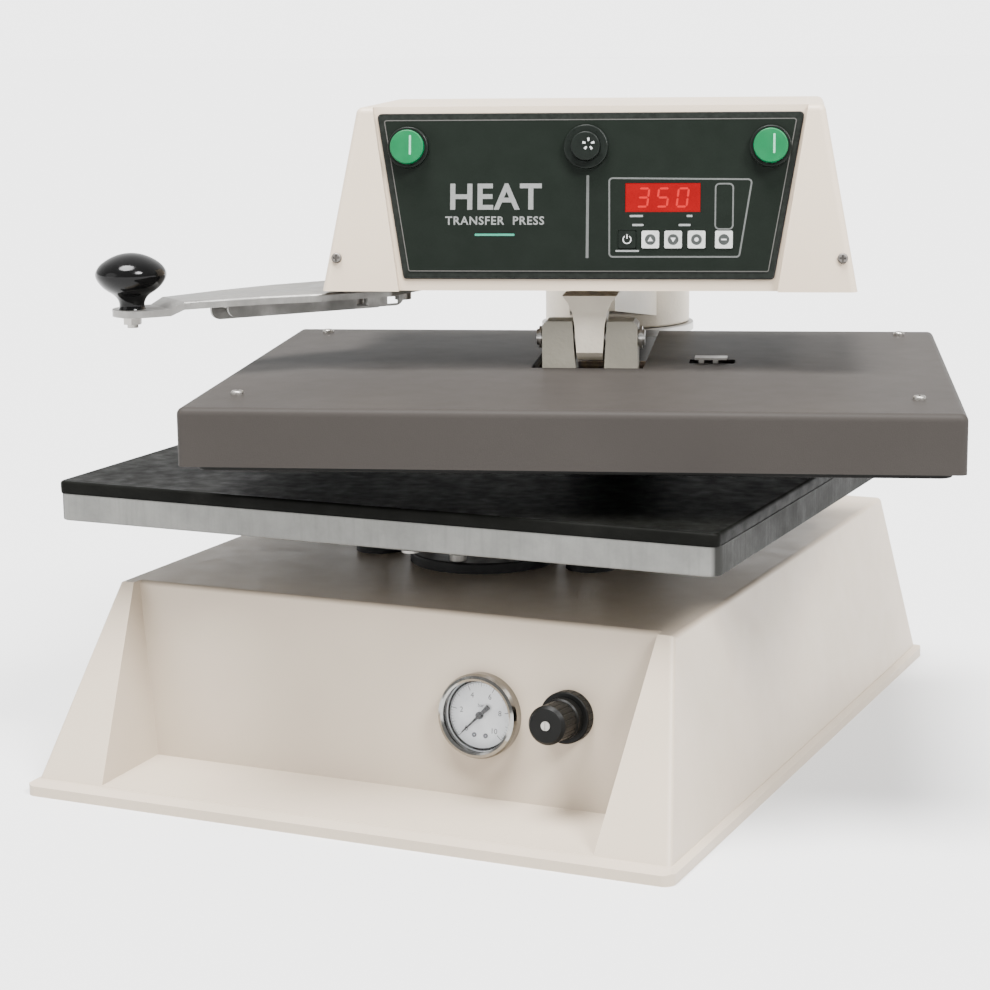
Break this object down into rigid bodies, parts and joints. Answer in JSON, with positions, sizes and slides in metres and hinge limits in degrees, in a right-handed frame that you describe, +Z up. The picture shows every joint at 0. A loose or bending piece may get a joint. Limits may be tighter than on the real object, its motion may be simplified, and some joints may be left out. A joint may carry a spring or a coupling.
{
  "type": "heat press",
  "caption": "Bench-top swing-away heat press: wedge-shaped base, air-lifted padded lower platen, swinging heated platen under a control console, side handle.",
  "frame": {"origin": "middle of the base pan's underside, where the press stands on the bench, centred between the four stand holes", "axes": "+Z up, -Y towards the operator, +X to the operator's right"},
  "size_m": [0.6488, 0.6363, 0.4828],
  "materials": {
    "base_paint": "satin",
    "console_paint": "satin",
    "cast_paint": "rough",
    "cover_paint": "satin",
    "frame_steel": "satin",
    "post_steel": "ground",
    "screw_steel": "plated",
    "bronze": "satin",
    "flange_steel": "satin",
    "cylinder_aluminium": "satin",
    "platen_aluminium": "rough cast",
    "pad_rubber": "matt",
    "gauge_case_paint": "satin",
    "gauge_chrome": "polished",
    "dial_white": "matt",
    "gauge_glass": "clear",
    "needle_black": "matt",
    "knob_black": "satin",
    "handle_black": "polished",
    "valve_plastic": "satin",
    "hose_plastic": "satin",
    "fitting_brass": "plated",
    "label_green": "satin",
    "window_red": "polished",
    "board_green": "satin",
    "bezel_black": "satin",
    "button_green": "satin",
    "contact_plastic": "satin",
    "key_white": "satin",
    "key_dark": "satin",
    "handle_paint": "satin",
    "element_steel": "heat dulled",
    "insulation_wool": "matt"
  },
  "bodies": {
    "base": {"base_pan": "base_paint", "base_shell": "base_paint", "base_frame": "frame_steel", "post": "post_steel", "base_bolts": "screw_steel", "post_collars": "post_steel", "lift_cylinder": "cylinder_aluminium", "lift_bushings": "flange_steel", "gauge_case": "gauge_case_paint", "gauge_bezel": "gauge_chrome", "gauge_dial": "dial_white", "gauge_lens": "gauge_glass", "regulator_body": "cylinder_aluminium", "regulator_nut": "knob_black", "solenoid_valve": "valve_plastic", "air_hoses": "hose_plastic", "air_inlet": "fitting_brass", "cord_gland": "knob_black"},
    "needle": {"gauge_needle": "needle_black"},
    "regulator": {"regulator_knob": "knob_black", "knob_screw": "screw_steel"},
    "table": {"table_ram": "post_steel", "table_bracket": "frame_steel", "table_bolts": "screw_steel", "lower_platen": "platen_aluminium", "platen_pad": "pad_rubber"},
    "head": {"swing_arm": "cast_paint", "hub_bushings": "bronze", "hub_cap": "cast_paint", "console_chassis": "console_paint", "console_cheek_left": "console_paint", "console_cheek_right": "console_paint", "console_back": "console_paint", "head_screws": "screw_steel", "face_plate": "label_green", "display_window": "window_red", "control_board": "board_green", "button_bezels": "bezel_black", "contact_blocks": "contact_plastic", "handle_arm": "handle_paint", "handle_bracket": "handle_paint", "handle_knob": "handle_black", "handle_stud": "screw_steel"},
    "platen": {"clevis": "cast_paint", "pivot_pin": "post_steel", "heat_platen": "platen_aluminium", "heating_element": "element_steel", "platen_fixings": "screw_steel", "cover_screws": "screw_steel", "insulation": "insulation_wool", "sensor": "element_steel", "platen_cover": "cover_paint"},
    "start_left": {"start_button_left": "button_green"},
    "start_right": {"start_button_right": "button_green"},
    "release": {"release_button": "bezel_black"},
    "key_power": {"key_power": "key_dark"},
    "key_up": {"key_up": "key_white"},
    "key_down": {"key_down": "key_white"},
    "key_set": {"key_set": "key_white"},
    "key_timer": {"key_timer": "key_white"}
  },
  "joints": [
    {"name": "head_swing", "type": "hinge", "parent": "base", "child": "head", "pos_m": [0, 0.2215, 0.31], "axis": [0, 0, 1], "range_deg": [-17.43, 72.57]},
    {"name": "table_lift", "type": "slide", "parent": "base", "child": "table", "axis": [0, 0, 1], "range_m": [0, 0.024]},
    {"name": "platen_tilt", "type": "hinge", "parent": "head", "child": "platen", "pos_m": [0.0821, -0.04001, 0.313], "axis": [0.9541, 0.2995, 0], "range_deg": [-0.8, 0.8]},
    {"name": "regulator_turn", "type": "hinge", "parent": "base", "child": "regulator", "pos_m": [0.1404, -0.22471, 0.0784], "axis": [0, 0.9953, -0.0972], "range_deg": [0, 1080]},
    {"name": "needle_sweep", "type": "hinge", "parent": "base", "child": "needle", "pos_m": [0.0752, -0.22531, 0.0723], "axis": [0, 0.9953, -0.0972], "range_deg": [0, 270]},
    {"name": "start_left_press", "type": "slide", "parent": "head", "child": "start_left", "axis": [-0.2958, 0.9423, -0.1564], "range_m": [0, 0.0036], "stiffness_N_per_m": 1200, "springref_m": -0.001},
    {"name": "start_right_press", "type": "slide", "parent": "head", "child": "start_right", "axis": [-0.2958, 0.9423, -0.1564], "range_m": [0, 0.0036], "stiffness_N_per_m": 1200, "springref_m": -0.001},
    {"name": "release_press", "type": "slide", "parent": "head", "child": "release", "axis": [-0.2958, 0.9423, -0.1564], "range_m": [0, 0.0036], "stiffness_N_per_m": 1200, "springref_m": -0.001},
    {"name": "key_power_press", "type": "slide", "parent": "head", "child": "key_power", "axis": [-0.2958, 0.9423, -0.1564], "range_m": [0, 0.0006], "stiffness_N_per_m": 2500, "springref_m": -0.0004},
    {"name": "key_up_press", "type": "slide", "parent": "head", "child": "key_up", "axis": [-0.2958, 0.9423, -0.1564], "range_m": [0, 0.0006], "stiffness_N_per_m": 2500, "springref_m": -0.0004},
    {"name": "key_down_press", "type": "slide", "parent": "head", "child": "key_down", "axis": [-0.2958, 0.9423, -0.1564], "range_m": [0, 0.0006], "stiffness_N_per_m": 2500, "springref_m": -0.0004},
    {"name": "key_set_press", "type": "slide", "parent": "head", "child": "key_set", "axis": [-0.2958, 0.9423, -0.1564], "range_m": [0, 0.0006], "stiffness_N_per_m": 2500, "springref_m": -0.0004},
    {"name": "key_timer_press", "type": "slide", "parent": "head", "child": "key_timer", "axis": [-0.2958, 0.9423, -0.1564], "range_m": [0, 0.0006], "stiffness_N_per_m": 2500, "springref_m": -0.0004}
  ],
  "couplings": [
    {"joint": "needle_sweep", "follows": "regulator_turn", "ratio": 0.25}
  ]
}
